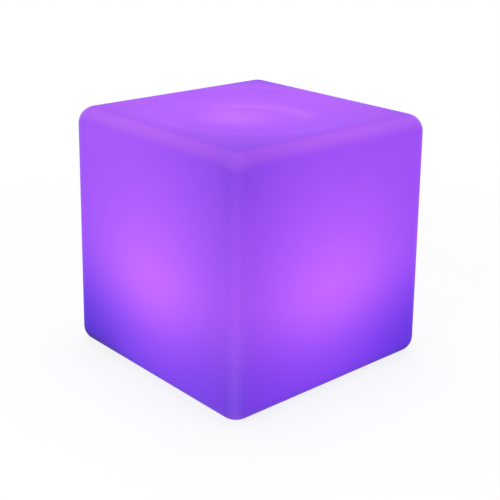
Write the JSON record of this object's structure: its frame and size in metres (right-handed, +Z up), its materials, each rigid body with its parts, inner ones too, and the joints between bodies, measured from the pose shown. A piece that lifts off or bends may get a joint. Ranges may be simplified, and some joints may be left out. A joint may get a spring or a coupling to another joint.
{
  "type": "led cube light",
  "caption": "Hollow translucent cube with rounded edges and a shallow round dish in its top, lit from inside by a rechargeable lamp module screwed into its base.",
  "frame": {"origin": "on the floor under the middle of the cube", "axes": "+Z up. The sides look along +X, -X, +Y and -Y. Under the cube, the power button lies towards -X and the charging socket towards +X."},
  "size_m": [0.3992, 0.3992, 0.394],
  "materials": {
    "glow_shell": "translucent polyethylene, softly glossy, lit violet from inside",
    "brass_inserts": "knurled, plain",
    "rubber_black": "moulded, matte",
    "steel_screws": "stainless",
    "flange_plastic": "white moulded plastic, fine texture",
    "gasket_silicone": "grey closed-cell silicone",
    "button_plastic": "dark grey, glossy",
    "boot_silicone": "translucent white silicone",
    "switch_black": "moulded",
    "plunger_plastic": "red",
    "clear_plastic": "clear acrylic",
    "socket_plastic": "black nylon",
    "contact_metal": "tinned brass",
    "nut_nickel": "nickel plated",
    "board_green": "green solder mask",
    "chip_black": "moulded epoxy",
    "coil_ferrite": "grey ferrite",
    "capacitor_sleeve": "plain can",
    "connector_white": "natural nylon",
    "cell_wrap": "blue shrink sleeve",
    "cell_steel": "nickel plated can",
    "nickel_strip": "nickel",
    "strap_steel": "zinc plated",
    "can_plastic": "white, reflective",
    "spreader_aluminium": "rolled sheet",
    "board_white": "white solder mask",
    "led_ceramic": "white package",
    "led_window": "clear resin over the chips, lit violet",
    "eye_plastic": "dark infrared window",
    "dome_opal": "milky diffuser",
    "wire_red": "silicone insulation",
    "wire_black": "silicone insulation",
    "wire_mixed": "silicone insulation"
  },
  "bodies": {
    "cube": {"battery_cells": "cell_steel", "battery_strap": "strap_steel", "battery_tray": "can_plastic", "battery_wire_black": "wire_black", "battery_wire_red": "wire_red", "board_capacitors": "capacitor_sleeve", "board_chips": "chip_black", "board_coil": "coil_ferrite", "board_screws": "steel_screws", "button_boot": "boot_silicone", "can_screws": "steel_screws", "can_seal": "gasket_silicone", "cap_anchor": "rubber_black", "cell_sleeves": "cell_wrap", "charge_led": "led_ceramic", "control_board": "board_green", "cube_shell": "glow_shell", "diffuser_dome": "dome_opal", "dome_screws": "steel_screws", "flange_gasket": "gasket_silicone", "flange_plate": "flange_plastic", "flange_screws": "steel_screws", "foot_pads": "rubber_black", "foot_screws": "steel_screws", "heat_spreader": "spreader_aluminium", "infrared_eye": "eye_plastic", "led_board": "board_white", "led_harness": "wire_mixed", "led_packages": "led_ceramic", "led_screws": "steel_screws", "led_windows": "led_window", "light_pipe": "clear_plastic", "module_can": "can_plastic", "nickel_strips": "nickel_strip", "pack_board": "board_green", "screw_inserts": "brass_inserts", "socket_body": "socket_plastic", "socket_contacts": "contact_metal", "socket_nut": "nut_nickel", "socket_wire_black": "wire_black", "socket_wire_red": "wire_red", "strap_screws": "steel_screws", "switch_body": "switch_black", "tray_screws": "steel_screws", "wire_grommet": "rubber_black", "wire_headers": "connector_white", "wire_plugs": "connector_white"},
    "button": {"power_button": "button_plastic"},
    "plunger": {"switch_plunger": "plunger_plastic"},
    "cap": {"socket_cap": "rubber_black"}
  },
  "joints": [
    {"name": "power_button_press", "type": "slide", "parent": "cube", "child": "button", "axis": [0, 0, 1], "range_m": [0, 0.0008], "stiffness_N_per_m": 2000},
    {"name": "switch_plunger_press", "type": "slide", "parent": "cube", "child": "plunger", "axis": [0, 0, 1], "range_m": [0, 0.0008]},
    {"name": "socket_cap_hinge", "type": "hinge", "parent": "cube", "child": "cap", "pos_m": [0.03, 0, 0.00765], "axis": [0, -1, 0], "range_deg": [0, 100]}
  ],
  "couplings": [
    {"joint": "switch_plunger_press", "follows": "power_button_press", "ratio": 1}
  ]
}
